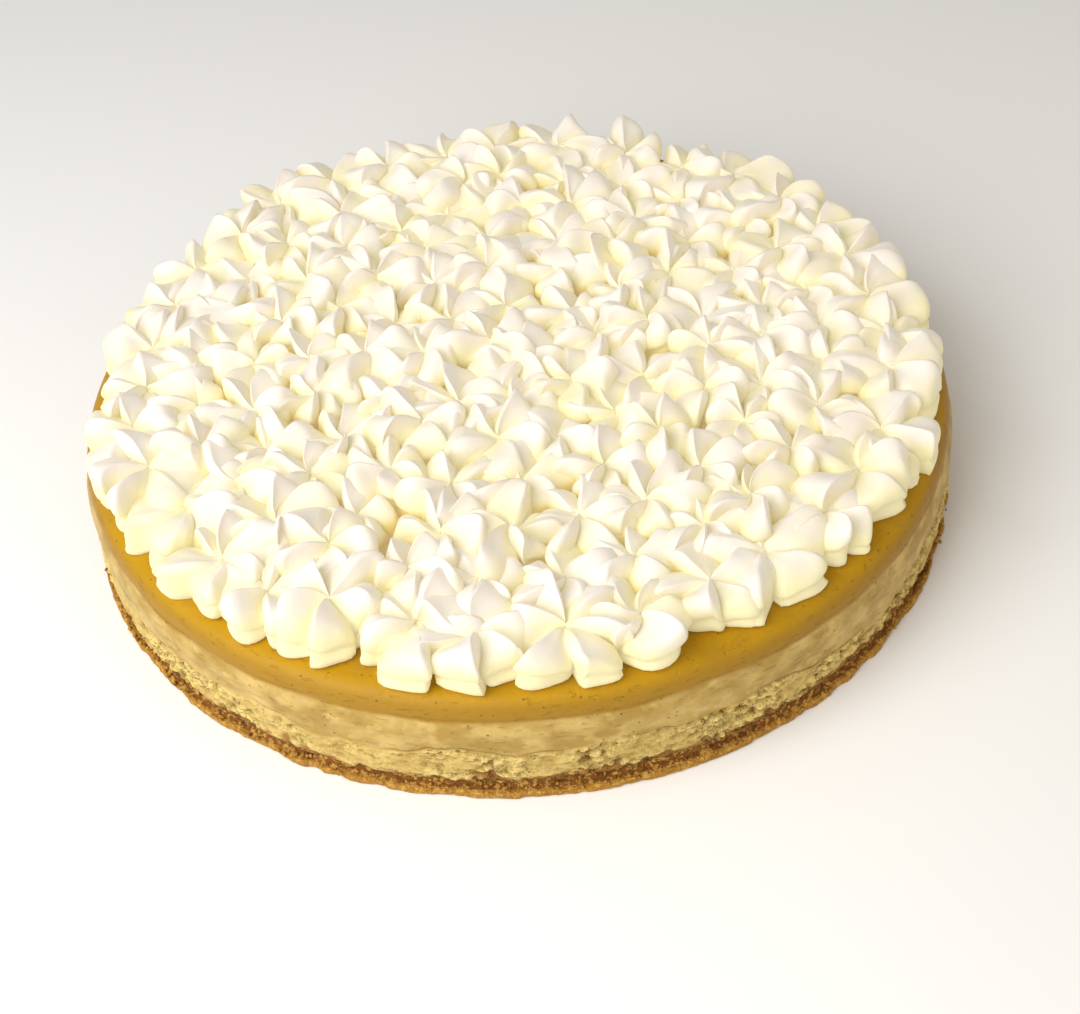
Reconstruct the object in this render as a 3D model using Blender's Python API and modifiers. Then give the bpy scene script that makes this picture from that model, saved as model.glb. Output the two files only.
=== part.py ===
"""A round pumpkin cheesecake: a crumb crust, a baked filling, and whipped cream piped over the top in stars.

Metres, +Z up. The origin is the centre of the crust's underside, which is what the cake rests on.
"""

import math

import bmesh
import bpy
import numpy as np

# Driving dimensions of the baked cake.
CAKE_RADIUS = 0.127
CAKE_HEIGHT = 0.034
CRUST_HEIGHT = 0.0055
LAYER_GAP = 0.0003
SIDE_STEPS = 80

# The crust's foot stands out where it filled the groove of the baking tin, and is thinner than the crust.
FOOT_HEIGHT = 0.0022
FOOT_PROUD = 0.0021
FOOT_SLOPE = 0.0006
CRUST_BREAK = 0.0008

# The baked skin turns over the rim in a soft round, and ends in a small crease on the side.
SIDE_SET_BACK = 0.0014
RIM_ROUND = 0.0052
RIM_SET_BACK = 0.0013
RIM_CRAG_SHARE = 0.15
CREASE_DEPTH = 0.0004
CREASE_DROP = 0.0007
FILLING_BREAK = 0.0009

# Crumb relief on the sides: how far it stands in or out, and the size of one crag.
CRUST_CRAG = 0.0011
CRUST_CRAG_SIZE = 0.004
FILLING_CRAG = 0.0009
FILLING_CRAG_SIZE = 0.006

# Driving dimensions of the piped cream: the bed that the stars sit in, and the stars.
BED_RADIUS = 0.106
BED_HEIGHT = 0.0085
BED_SIDES = 48
STAR_RADIUS = 0.0134
STAR_HEIGHT = 0.0135
RIM_GROWTH = 1.18
STAR_SPACING = 0.0195
RING_PITCH = 0.0168
INNERMOST_RING = 0.3 * RING_PITCH
OUTER_RING_RADIUS = 0.1075
STAR_SEED = 2007

# The cream spreads freely up to the first radius, and nothing of it passes the second.
FREE_RADIUS = 0.1185
EDGE_RADIUS = 0.1235

# How the stars vary: the place along the ring as a share of the spacing, the others as shares of the size.
PLACE_SPREAD = 0.13
RADIUS_SPREAD = 0.14
HEIGHT_SPREAD = 0.14
PETAL_LENGTH_SPREAD = 0.24
PETAL_LIFT_SPREAD = 0.16
PETAL_WIDTH_SPREAD = 0.32
RING_SPREAD = 0.0014
PETAL_COUNTS = (5, 6, 7)
PETAL_CHANCES = (0.6, 0.35, 0.05)
RIDGE_PAST_MIDDLE = (0.05, 0.30)
RIDGE_OVERHANG = 0.17
TURNED_BACK_SHARE = 0.2
LEAN_SPREAD = 0.2

# The rings of a star, as shares of its radius and height: at a petal's ridge, then in the groove between two.
CROWN_RING = ((0.85, 0.97), (0.48, 0.50))
FOOT_RING = ((0.97, 0.0), (0.64, 0.0))
FLANK_ACROSS = 0.36
FLANK_REACH = 0.95
FLANK_LEVEL = 0.45
DIMPLE = 0.68
SUNK_FOOT = 0.4 * BED_HEIGHT

CRUST_BROWN = (0.36, 0.17, 0.06)
FILLING_TAN = (0.66, 0.42, 0.15)
CREAM_WHITE = (0.93, 0.88, 0.74)


def clear_scene():
    """Removes every object that the startup scene holds."""
    for obj in list(bpy.data.objects):
        bpy.data.objects.remove(obj)


def new_collection(name):
    """Adds an empty collection to the scene."""
    collection = bpy.data.collections.new(name)
    bpy.context.scene.collection.children.link(collection)
    return collection


def food_material(name, colour, roughness):
    """A plain Principled material in the food's own colour."""
    material = bpy.data.materials.new(name)
    material.use_nodes = True
    shader = material.node_tree.nodes["Principled BSDF"]
    shader.inputs["Base Color"].default_value = (*colour, 1.0)
    shader.inputs["Roughness"].default_value = roughness
    shader.inputs["Metallic"].default_value = 0.0
    return material


def turned_solid(name, profile, crag, crag_size, material, collection):
    """Turns a profile about Z, then roughens it.

    The profile runs from the axis at the top, down the outer side, to the axis at the bottom. Each of its
    points is a radius, a height, and the share of the relief that it takes.
    """
    points = [(radius, 0.0, height) for radius, height, _ in profile]
    edges = [(i, i + 1) for i in range(len(points) - 1)]
    mesh = bpy.data.meshes.new(name)
    mesh.from_pydata(points, edges, [])
    mesh.materials.append(material)
    solid = bpy.data.objects.new(name, mesh)
    collection.objects.link(solid)

    group = solid.vertex_groups.new(name="crags")
    for index, (_, _, share) in enumerate(profile):
        group.add([index], share, "REPLACE")

    turn = solid.modifiers.new("turn", "SCREW")
    turn.steps = SIDE_STEPS
    turn.render_steps = SIDE_STEPS
    turn.use_merge_vertices = True
    turn.merge_threshold = 0.0001
    turn.use_smooth_shade = True

    texture = bpy.data.textures.new(name + "_crags", "CLOUDS")
    texture.noise_scale = crag_size
    relief = solid.modifiers.new("crags", "DISPLACE")
    relief.texture = texture
    relief.texture_coords = "LOCAL"
    relief.direction = "NORMAL"
    relief.mid_level = 0.5
    relief.strength = 2 * crag
    relief.vertex_group = group.name
    return solid


def crust_profile():
    """The crust's half section: a crumbly band, then a step out to the proud foot."""
    wall = CAKE_RADIUS - FOOT_PROUD
    return [
        (0.0, CRUST_HEIGHT, 0.0),
        (wall - CRUST_BREAK, CRUST_HEIGHT, 0.0),
        (wall, 0.5 * (CRUST_HEIGHT + FOOT_HEIGHT), 1.0),
        (wall, FOOT_HEIGHT + FOOT_SLOPE, 0.6),
        (CAKE_RADIUS - FOOT_SLOPE, FOOT_HEIGHT, 0.4),
        (CAKE_RADIUS, 0.4 * FOOT_HEIGHT, 0.4),
        (CAKE_RADIUS - FOOT_SLOPE, 0.0, 0.0),
        (0.0, 0.0, 0.0),
    ]


def filling_profile():
    """The filling's half section: a flat top, a round rim ending in a crease, and a slightly full side."""
    side = CAKE_RADIUS - SIDE_SET_BACK
    rim = side - RIM_SET_BACK
    bottom = CRUST_HEIGHT + LAYER_GAP
    shoulder = CAKE_HEIGHT - RIM_ROUND
    section = [(0.0, CAKE_HEIGHT, 0.0)]
    for degrees in (0, 32, 63, 90):
        turn = math.radians(degrees)
        radius = rim - RIM_ROUND * (1 - math.sin(turn))
        height = shoulder + RIM_ROUND * math.cos(turn)
        section.append((radius, height, RIM_CRAG_SHARE * math.sin(turn)))
    section.append((rim - CREASE_DEPTH, shoulder - CREASE_DROP, RIM_CRAG_SHARE))
    # The side gets rougher towards the crust.
    for level, crag_share in ((0.85, 0.25), (0.5, 0.7), (0.22, 1.0)):
        section.append((side, bottom + level * (shoulder - bottom), crag_share))
    section.append((side - FILLING_BREAK, bottom, 0.0))
    section.append((0.0, bottom, 0.0))
    return section


def star_places():
    """Where the stars are piped: rings from the rim inwards, each star a little off its even place.

    Returns one dictionary a star. Its lengths and lifts are each petal's share of the star's radius and height,
    its widths are the petals' angles, and its ridges lie past the petals' middles by a share of the width.
    """
    rng = np.random.default_rng(STAR_SEED)
    stars = []
    ring_radius = OUTER_RING_RADIUS
    while ring_radius > INNERMOST_RING:
        at_rim = ring_radius == OUTER_RING_RADIUS
        growth = RIM_GROWTH if at_rim else 1.0
        count = round(2 * math.pi * ring_radius / STAR_SPACING)
        start = rng.uniform(0, 2 * math.pi)
        for place in range(count):
            angle = start + 2 * math.pi * (place + PLACE_SPREAD * rng.uniform(-1, 1)) / count
            radius = ring_radius + RING_SPREAD * rng.uniform(-1, 1)
            petals = int(rng.choice(PETAL_COUNTS, p=PETAL_CHANCES))
            shares = 1 + PETAL_WIDTH_SPREAD * rng.uniform(-1, 1, petals)
            stars.append(
                {
                    "middle": (radius * math.cos(angle), radius * math.sin(angle)),
                    "radius": STAR_RADIUS * growth * (1 + RADIUS_SPREAD * rng.uniform(-1, 1)),
                    "height": STAR_HEIGHT * (1 + HEIGHT_SPREAD * rng.uniform(-1, 1)),
                    "turn": rng.uniform(0, 2 * math.pi),
                    "lengths": 1 + PETAL_LENGTH_SPREAD * rng.uniform(-1, 1, petals),
                    "lifts": 1 + PETAL_LIFT_SPREAD * rng.uniform(-1, 1, petals),
                    "widths": 2 * math.pi * shares / shares.sum(),
                    "ridges": rng.uniform(*RIDGE_PAST_MIDDLE, petals),
                    "hand": -1 if rng.uniform() < TURNED_BACK_SHARE else 1,
                    "lean": rng.uniform(-LEAN_SPREAD, LEAN_SPREAD, 2),
                    "foot": 0.0 if at_rim else SUNK_FOOT,
                    "at_rim": at_rim,
                }
            )
        ring_radius -= RING_PITCH
    return stars


def petal_sides(star):
    """The sides of a star, in order: each petal's groove, at the rim its gentle flank, and its ridge.

    Returns for each side its angle, its petal, how much of the petal's reach past the groove it has, and how
    much of the petal's height over the groove.
    """
    sides = []
    starts = np.cumsum(star["widths"]) - star["widths"]
    for petal, (start, width) in enumerate(zip(starts, star["widths"])):
        ridge = 0.5 + star["ridges"][petal] + RIDGE_OVERHANG
        sides.append((start, petal, 0.0, 0.0))
        if star["at_rim"]:
            sides.append((start + FLANK_ACROSS * width, petal, FLANK_REACH, FLANK_LEVEL))
        sides.append((start + ridge * width, petal, 1.0, 1.0))
    if star["hand"] < 0:
        sides.reverse()
    return [(star["turn"] + star["hand"] * angle, *rest) for angle, *rest in sides]


def star_point(star, ring, side):
    """A point of one of the star's rings, in the cake's own frame."""
    (ridge_reach, ridge_level), (groove_reach, groove_level) = ring
    angle, petal, reach_share, level_share = side
    reach = groove_reach + reach_share * (ridge_reach * star["lengths"][petal] - groove_reach)
    level = groove_level + level_share * (ridge_level * star["lifts"][petal] - groove_level)
    height = max(star["foot"], star["height"] * level)
    x = star["middle"][0] + star["radius"] * reach * math.cos(angle) + star["lean"][0] * height
    y = star["middle"][1] + star["radius"] * reach * math.sin(angle) + star["lean"][1] * height
    out = math.hypot(x, y)
    room = EDGE_RADIUS - FREE_RADIUS
    inside = min(out, FREE_RADIUS) + room * math.tanh(max(out - FREE_RADIUS, 0.0) / room)
    return (x * inside / out, y * inside / out, height)


def piped_star(name, star, collection):
    """One star: a ball of two rings, drawn out into petals that rise from a dimple and end blunt.

    A star at the rim shows its side, so it stands on the cake. The others end inside the bed.
    """
    sides = petal_sides(star)
    ball = bmesh.new()
    bmesh.ops.create_uvsphere(ball, u_segments=len(sides), v_segments=3, radius=1.0)
    for vertex in ball.verts:
        upper = vertex.co.z > 0
        if math.hypot(vertex.co.x, vertex.co.y) > 0.5:
            turn = math.atan2(vertex.co.y, vertex.co.x) / (2 * math.pi)
            side = sides[round(turn * len(sides)) % len(sides)]
            vertex.co = star_point(star, CROWN_RING if upper else FOOT_RING, side)
            continue
        height = DIMPLE * star["height"] if upper else star["foot"]
        vertex.co = (
            star["middle"][0] + star["lean"][0] * height,
            star["middle"][1] + star["lean"][1] * height,
            height,
        )
    bmesh.ops.triangulate(ball, faces=ball.faces)
    mesh = bpy.data.meshes.new(name)
    ball.to_mesh(mesh)
    ball.free()
    body = bpy.data.objects.new(name, mesh)
    body.location.z = CAKE_HEIGHT + LAYER_GAP
    collection.objects.link(body)
    return body


def keep_outer_skin(mesh):
    """Keeps the skin round the outermost face: hollows that joining sealed are filled, and loose scraps go."""
    skin = bmesh.new()
    skin.from_mesh(mesh)
    outermost = max(skin.faces, key=lambda face: face.calc_center_median().xy.length)
    reached = {outermost}
    search = [outermost]
    while search:
        for edge in search.pop().edges:
            if len(edge.link_faces) != 2:
                continue
            for face in edge.link_faces:
                if face not in reached:
                    reached.add(face)
                    search.append(face)
    rest = [face for face in skin.faces if face not in reached]
    bmesh.ops.delete(skin, geom=rest, context="FACES")
    skin.to_mesh(mesh)
    skin.free()


def whipped_cream(material, collection):
    """The bed and all the stars, joined into one body of cream."""
    stars = new_collection("stars")
    bodies = [piped_star(f"star_{i}", star, stars) for i, star in enumerate(star_places())]
    bpy.ops.mesh.primitive_cylinder_add(
        vertices=BED_SIDES,
        radius=BED_RADIUS,
        depth=BED_HEIGHT,
        location=(0.0, 0.0, CAKE_HEIGHT + LAYER_GAP + 0.5 * BED_HEIGHT),
    )
    bed = bpy.context.active_object
    join = bed.modifiers.new("join", "BOOLEAN")
    join.operation = "UNION"
    join.operand_type = "COLLECTION"
    join.collection = stars
    join.solver = "MANIFOLD"
    bpy.context.view_layer.update()
    joined = bpy.data.meshes.new_from_object(bed.evaluated_get(bpy.context.evaluated_depsgraph_get()))
    joined.transform(bed.matrix_world)
    keep_outer_skin(joined)
    joined.materials.clear()
    joined.materials.append(material)
    cream = bpy.data.objects.new("whipped_cream", joined)
    collection.objects.link(cream)
    for body in [bed, *bodies]:
        bpy.data.objects.remove(body)
    bpy.data.collections.remove(stars)
    return cream


def main():
    """Builds the three layers of the cake."""
    clear_scene()
    cake = new_collection("cheesecake")
    crumb = food_material("crumb", CRUST_BROWN, 0.9)
    baked = food_material("filling", FILLING_TAN, 0.55)
    turned_solid("crumb_crust", crust_profile(), CRUST_CRAG, CRUST_CRAG_SIZE, crumb, cake)
    turned_solid("pumpkin_filling", filling_profile(), FILLING_CRAG, FILLING_CRAG_SIZE, baked, cake)
    whipped_cream(food_material("cream", CREAM_WHITE, 0.5), cake)


main()
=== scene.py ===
"""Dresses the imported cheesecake: piped cream, baked filling, crumb crust, their finishes and the studio."""

from __future__ import annotations

import itertools
import logging
import math
from dataclasses import dataclass, field
from enum import Enum

import bpy
import numpy as np
from mathutils import Euler, Matrix, Vector


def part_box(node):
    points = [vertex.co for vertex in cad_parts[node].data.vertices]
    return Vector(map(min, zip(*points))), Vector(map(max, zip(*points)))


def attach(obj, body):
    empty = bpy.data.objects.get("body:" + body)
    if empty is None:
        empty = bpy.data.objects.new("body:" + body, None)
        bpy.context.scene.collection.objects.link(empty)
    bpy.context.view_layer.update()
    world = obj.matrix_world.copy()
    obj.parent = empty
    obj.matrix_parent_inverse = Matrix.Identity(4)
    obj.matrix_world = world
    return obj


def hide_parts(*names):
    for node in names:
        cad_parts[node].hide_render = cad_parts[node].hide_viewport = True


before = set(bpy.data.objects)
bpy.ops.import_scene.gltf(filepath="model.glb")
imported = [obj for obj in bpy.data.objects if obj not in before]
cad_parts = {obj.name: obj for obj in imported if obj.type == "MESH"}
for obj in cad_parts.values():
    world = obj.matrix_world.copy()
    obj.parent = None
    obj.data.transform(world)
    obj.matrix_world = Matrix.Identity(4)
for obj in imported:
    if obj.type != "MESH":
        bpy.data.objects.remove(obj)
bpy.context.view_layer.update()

log = logging.getLogger("cheesecake")

Array = np.ndarray
Random = np.random.Generator
Span = tuple[float, float]
Triple = tuple[float, float, float]
Colour = Triple
Material = bpy.types.Material
Piece = bpy.types.Object
Socket = bpy.types.NodeSocket
Inputs = dict[str | int, object]


class Layer(Enum):
    """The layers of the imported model: each solid's node and its material slot."""

    CRUST = ("crumb_crust", "crumb")
    FILLING = ("pumpkin_filling", "filling")
    CREAM = ("whipped_cream", "cream")

    @property
    def box(self) -> tuple[Vector, Vector]:
        """The solid's lowest and highest corner."""
        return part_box(self.value[0])


class CrumbShade(Enum):
    """How far a loose crumb has browned."""

    PALE = "pale_crumbs"
    DARK = "dark_crumbs"


def smooth_step(low: float, high: float, value: Array) -> Array:
    """Rises from 0 at low to 1 at high along the curve 3 x^2 - 2 x^3.

    Args:
        low: the value where the rise starts.
        high: the value where it ends. It may be below low, and the curve then falls.
        value: the array to map.

    Returns:
        An array of the same shape, between 0 and 1.
    """
    share = np.clip((value - low) / (high - low), 0.0, 1.0)
    return share * share * (3.0 - 2.0 * share)


def bell(off: Array, width: float) -> Array:
    """The bell curve exp(-(off / width)^2)."""
    return np.exp(-((off / width) ** 2))


def through_points(points: list[Span], stations: Array) -> Array:
    """Reads a smooth curve through the points, where each stretch is a Catmull-Rom cubic.

    Args:
        points: the curve's own points.
        stations: where to read it, from 0 at the first point to 1 at the last.

    Returns:
        One (x, y) row for each station.
    """
    table = np.asarray(points, float)
    place = np.clip(stations, 0.0, 1.0) * (len(table) - 1)
    start = np.minimum(place.astype(int), len(table) - 2)
    t = (place - start)[:, None]
    before = table[np.maximum(start - 1, 0)]
    here, there = table[start], table[start + 1]
    after = table[np.minimum(start + 2, len(table) - 1)]
    return 0.5 * (
        2.0 * here
        + (there - before) * t
        + (2.0 * before - 5.0 * here + 4.0 * there - after) * t**2
        + (3.0 * here - before - 3.0 * there + after) * t**3
    )


def linked(name: str, data: bpy.types.ID) -> Piece:
    """Makes an object and links it to the scene.

    Args:
        name: the object's name.
        data: its mesh, light or camera.

    Returns:
        The new object.
    """
    made = bpy.data.objects.new(name, data)
    bpy.context.scene.collection.objects.link(made)
    return made


@dataclass(frozen=True)
class Lattice:
    """A lattice of upright boxes, each with random numbers of its own.

    Attributes:
        wide, tall: the boxes' size.
        seed: which set of random numbers is used.
    """

    wide: float
    tall: float
    seed: int

    def boxes(self, points: Array) -> tuple[Array, Array]:
        """The points in units of the boxes, and the box that each of them is in."""
        scaled = points / np.array([self.wide, self.wide, self.tall])
        return scaled, np.floor(scaled).astype(np.int64)

    def random(self, boxes: Array, draw: int = 0) -> Array:
        """Hashes the boxes' places: times large primes, joined with exclusive or, and mixed.

        Args:
            boxes: the boxes' places, three whole numbers a row.
            draw: which of a box's numbers is read.

        Returns:
            One number from -1 to 1 for each row.
        """
        primes = np.array([73856093, 19349663, 83492791], np.int64)
        mixed = np.bitwise_xor.reduce(boxes * primes, axis=-1) + (self.seed + draw) * 2654435761
        mixed = (mixed ^ (mixed >> 13)) * 1274126177
        mixed = (mixed ^ (mixed >> 16)) & 0xFFFF
        return mixed / 32767.5 - 1.0


class LatticeNoise(Lattice):
    """Random numbers at the boxes' corners, blended smoothly in between."""

    def at(self, points: Array) -> Array:
        """Blends the eight corners round each point with the weights 3 x^2 - 2 x^3.

        Args:
            points: places in metres, of shape (..., 3).

        Returns:
            Numbers from -1 to 1, of shape (...).
        """
        scaled, boxes = self.boxes(points)
        share = scaled - boxes
        share = share * share * (3.0 - 2.0 * share)
        total = np.zeros(points.shape[:-1])
        for corner in itertools.product((0, 1), repeat=3):
            step = np.array(corner)
            weight = np.prod(np.where(step, share, 1.0 - share), axis=-1)
            total += weight * self.random(boxes + step)
        return total

    def layered(self, points: Array, layers: int) -> Array:
        """Sums finer and finer noise, each layer of half the size and half the height of the one before.

        Args:
            points: places in metres, of shape (..., 3).
            layers: how many layers are summed.

        Returns:
            Numbers of about -1 to 1, of shape (...).
        """
        total = np.zeros(points.shape[:-1])
        for layer in range(layers):
            share = 2**layer
            finer = LatticeNoise(self.wide / share, self.tall / share, self.seed + 31 * layer)
            total += finer.at(points) / share
        return total / (2.0 - 0.5 ** (layers - 1))


class CrumbCells(Lattice):
    """Crumbs packed side by side: one somewhere inside each box, with its own size."""

    def at(self, points: Array) -> tuple[Array, Array]:
        """Finds the nearest crumb's middle in the boxes round each point.

        Args:
            points: places in metres, of shape (..., 3).

        Returns:
            How far off that middle is, in boxes, and the crumb's own number from -1 to 1.
        """
        scaled, home = self.boxes(points)
        nearest = np.full(points.shape[:-1], np.inf)
        chosen = np.zeros(points.shape[:-1])
        for step in itertools.product((-1, 0, 1), repeat=3):
            boxes = home + np.array(step)
            shifts = np.stack([self.random(boxes, draw) for draw in range(3)], axis=-1)
            off = np.linalg.norm(scaled - (boxes + 0.5 + 0.5 * shifts), axis=-1)
            chosen = np.where(off < nearest, self.random(boxes, 3), chosen)
            nearest = np.minimum(nearest, off)
        return nearest, chosen


class TurnedGrid:
    """A half section turned about the cake's axis, whose points then move out or in.

    Attributes:
        radius, height: each row's distance from the axis and height, as one column.
        angle: each column's angle.
        points: the grid's points, of shape (rows, columns, 3).
    """

    def __init__(self, section: Array, columns: int) -> None:
        """Turns the section.

        Args:
            section: (radius, height) rows.
            columns: the number of points round the axis.
        """
        self.radius = section[:, :1]
        self.height = section[:, 1:]
        self.angle = 2 * np.pi * np.arange(columns) / columns
        self.points = self.ring(self.radius, self.height)

    def ring(self, radius: Array, height: Array) -> Array:
        """The places at these distances from the axis and these heights, for every column."""
        flat = [radius * np.cos(self.angle), radius * np.sin(self.angle)]
        return np.stack([*flat, np.broadcast_to(height, flat[0].shape)], axis=-1)

    def level_ring(self, radius: float) -> Array:
        """A place for every point that only depends on its column, for noise that runs round the cake."""
        return self.ring(np.full_like(self.radius, radius), np.zeros_like(self.height))

    def move_out(self, distance: Array) -> None:
        """Moves the points away from the axis, or towards it where the distance is negative."""
        self.points[..., 0] += distance * np.cos(self.angle)
        self.points[..., 1] += distance * np.sin(self.angle)


@dataclass
class SkinBuilder:
    """Gathers closed skins into one mesh.

    A skin is a grid of points whose rows run from the top down and whose columns run anticlockwise and meet.
    Both ends are closed with a fan to the middle of the end row.
    """

    points: list[Array] = field(default_factory=list)
    corners: list[Array] = field(default_factory=list)
    sizes: list[Array] = field(default_factory=list)
    marks: dict[str, list[Array]] = field(default_factory=dict)
    count: int = 0

    def add(self, grid: Array, **marks: Array) -> None:
        """Adds one closed skin.

        Args:
            grid: points of shape (rows, columns, 3).
            **marks: numbers that the finish reads, each of shape (rows, columns).
        """
        rows, columns = grid.shape[:2]
        ends = np.stack([grid[0].mean(axis=0), grid[-1].mean(axis=0)])
        index = np.arange(rows * columns).reshape(rows, columns) + self.count
        onward = np.roll(index, -1, axis=1)
        quads = np.stack([index[:-1], index[1:], onward[1:], onward[:-1]], axis=-1).reshape(-1, 4)
        top = self.count + rows * columns
        bottom = top + 1
        top_fan = np.stack([np.full(columns, top), index[0], onward[0]], axis=-1)
        bottom_fan = np.stack([np.full(columns, bottom), onward[-1], index[-1]], axis=-1)
        self.points += [grid.reshape(-1, 3), ends]
        self.corners += [quads.ravel(), top_fan.ravel(), bottom_fan.ravel()]
        self.sizes += [np.full(len(quads), 4), np.full(2 * columns, 3)]
        for name, values in marks.items():
            spread = np.concatenate([values.ravel(), [values[0].mean(), values[-1].mean()]])
            self.marks.setdefault(name, []).append(spread)
        self.count = bottom + 1

    def build(self, name: str, material: Material) -> Piece:
        """Makes the piece of all its skins, with its place in its mesh.

        Args:
            name: the piece's name.
            material: its finish.

        Returns:
            The new piece, linked to the scene.
        """
        points = np.concatenate(self.points)
        corners = np.concatenate(self.corners)
        sizes = np.concatenate(self.sizes)
        mesh = bpy.data.meshes.new(name)
        mesh.vertices.add(len(points))
        mesh.vertices.foreach_set("co", points.astype(np.float32).ravel())
        mesh.loops.add(len(corners))
        mesh.loops.foreach_set("vertex_index", corners.astype(np.int32))
        mesh.polygons.add(len(sizes))
        starts = np.concatenate([[0], np.cumsum(sizes)[:-1]])
        mesh.polygons.foreach_set("loop_start", starts.astype(np.int32))
        mesh.update(calc_edges=True)
        mesh.validate()
        for mark, values in self.marks.items():
            attribute = mesh.attributes.new(mark, "FLOAT", "POINT")
            attribute.data.foreach_set("value", np.concatenate(values).astype(np.float32))
        mesh.shade_smooth()
        mesh.materials.append(material)
        return linked(name, mesh)


class NodeBoard:
    """A new material and its node tree, with short calls for the nodes that the finishes share."""

    def __init__(self, name: str) -> None:
        """Starts the material.

        Args:
            name: the material's name.
        """
        self.material = bpy.data.materials.new(name)
        self.material.use_nodes = True
        self.shader = self.material.node_tree.nodes["Principled BSDF"]

    def feed(self, node: bpy.types.Node, inputs: Inputs) -> None:
        """Links sockets to a node's inputs and sets plain values on them.

        Args:
            node: the node.
            inputs: a socket or a plain value for each input, by the input's name or number.
        """
        for key, value in inputs.items():
            if isinstance(value, Socket):
                self.material.node_tree.links.new(value, node.inputs[key])
            else:
                node.inputs[key].default_value = value

    def node(self, kind: str, inputs: Inputs, **values: object) -> bpy.types.bpy_prop_collection:
        """Adds a node.

        Args:
            kind: the node's Blender type.
            inputs: what goes into it.
            **values: its properties.

        Returns:
            Its outputs.
        """
        made = self.material.node_tree.nodes.new(kind)
        for name, value in values.items():
            setattr(made, name, value)
        self.feed(made, inputs)
        return made.outputs

    def place(self) -> Socket:
        """The piece's own coordinates, in metres."""
        return self.node("ShaderNodeTexCoord", {})["Object"]

    def mark(self, name: str) -> Socket:
        """A number stored on the mesh's points under a name."""
        return self.node("ShaderNodeAttribute", {}, attribute_name=name)["Fac"]

    def noise(self, size: float, detail: float, flatness: float = 1.0) -> Socket:
        """Cloudy noise on the piece's own coordinates.

        Args:
            size: the width of one cloud in metres.
            detail: how many finer layers are added.
            flatness: how many times flatter than wide a cloud is.

        Returns:
            The noise's value, about 0.5 on average.
        """
        mapping = self.node("ShaderNodeMapping", {"Vector": self.place(), "Scale": (1.0, 1.0, flatness)})
        inputs = {"Vector": mapping["Vector"], "Scale": 1.0 / size, "Detail": detail}
        return self.node("ShaderNodeTexNoise", inputs)["Fac"]

    def cells(self, size: float, warp: float) -> Socket:
        """The distance to the nearest of many scattered points.

        Args:
            size: the mean gap between the points in metres.
            warp: how far fine noise shifts the pattern in metres, which makes its cells ragged.

        Returns:
            The distance, as a share of the gap.
        """
        fine = self.node("ShaderNodeTexNoise", {"Vector": self.place(), "Scale": 2.0 / size})
        inputs = {0: fine["Color"], 1: (warp, warp, warp), 2: self.place()}
        shifted = self.node("ShaderNodeVectorMath", inputs, operation="MULTIPLY_ADD")
        inputs = {"Vector": shifted["Vector"], "Scale": 1.0 / size}
        return self.node("ShaderNodeTexVoronoi", inputs)["Distance"]

    def ramp(self, value: Socket, low: float, high: float) -> Socket:
        """Maps low to 0 and high to 1 on a smooth curve, held at both ends.

        Args:
            value: the number to map.
            low: what becomes 0.
            high: what becomes 1.

        Returns:
            The mapped number.
        """
        inputs = {"Value": value, "From Min": low, "From Max": high}
        curve = {"clamp": True, "interpolation_type": "SMOOTHSTEP"}
        return self.node("ShaderNodeMapRange", inputs, **curve)["Result"]

    def combine(self, kind: str, first: Socket, second: Socket | float) -> Socket:
        """Combines two numbers by an operation such as ADD or MULTIPLY."""
        return self.node("ShaderNodeMath", {0: first, 1: second}, operation=kind)["Value"]

    def spread(self, pattern: Socket, low: float, high: float) -> Socket:
        """Spreads a pattern of 0 to 1 from low to high."""
        return self.combine("ADD", self.combine("MULTIPLY", pattern, high - low), low)

    def blend(self, share: Socket, low: Socket | Colour, high: Colour) -> Socket:
        """Blends two colours.

        Args:
            share: 0 for the first colour, 1 for the second.
            low: the first colour, plain or from another node.
            high: the second colour.

        Returns:
            The blended colour.
        """
        first = (*low, 1.0) if isinstance(low, tuple) else low
        # Inputs 6 and 7 and output 2 are the node's colour sockets, which share their names with others.
        inputs = {"Factor": share, 6: first, 7: (*high, 1.0)}
        return self.node("ShaderNodeMix", inputs, data_type="RGBA")[2]

    def layered(self, colour: Socket, layers: list[tuple[Socket, float, Colour]]) -> Socket:
        """Lays colours over one another.

        Args:
            colour: the lowest colour.
            layers: for each one above it, where it lies, how strong it is there and its colour.

        Returns:
            The blended colour.
        """
        for pattern, share, tone in layers:
            colour = self.blend(self.combine("MULTIPLY", pattern, share), colour, tone)
        return colour

    def bump(self, heights: list[tuple[Socket, float]]) -> Inputs:
        """Raises the surface by several patterns in turn.

        Args:
            heights: each pattern with its full height in metres.

        Returns:
            What the shader is fed with to show them.
        """
        normal = {}
        for pattern, tall in heights:
            raised = self.node("ShaderNodeBump", {"Height": pattern, "Distance": tall, **normal})
            normal = {"Normal": raised["Normal"]}
        return normal


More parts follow.
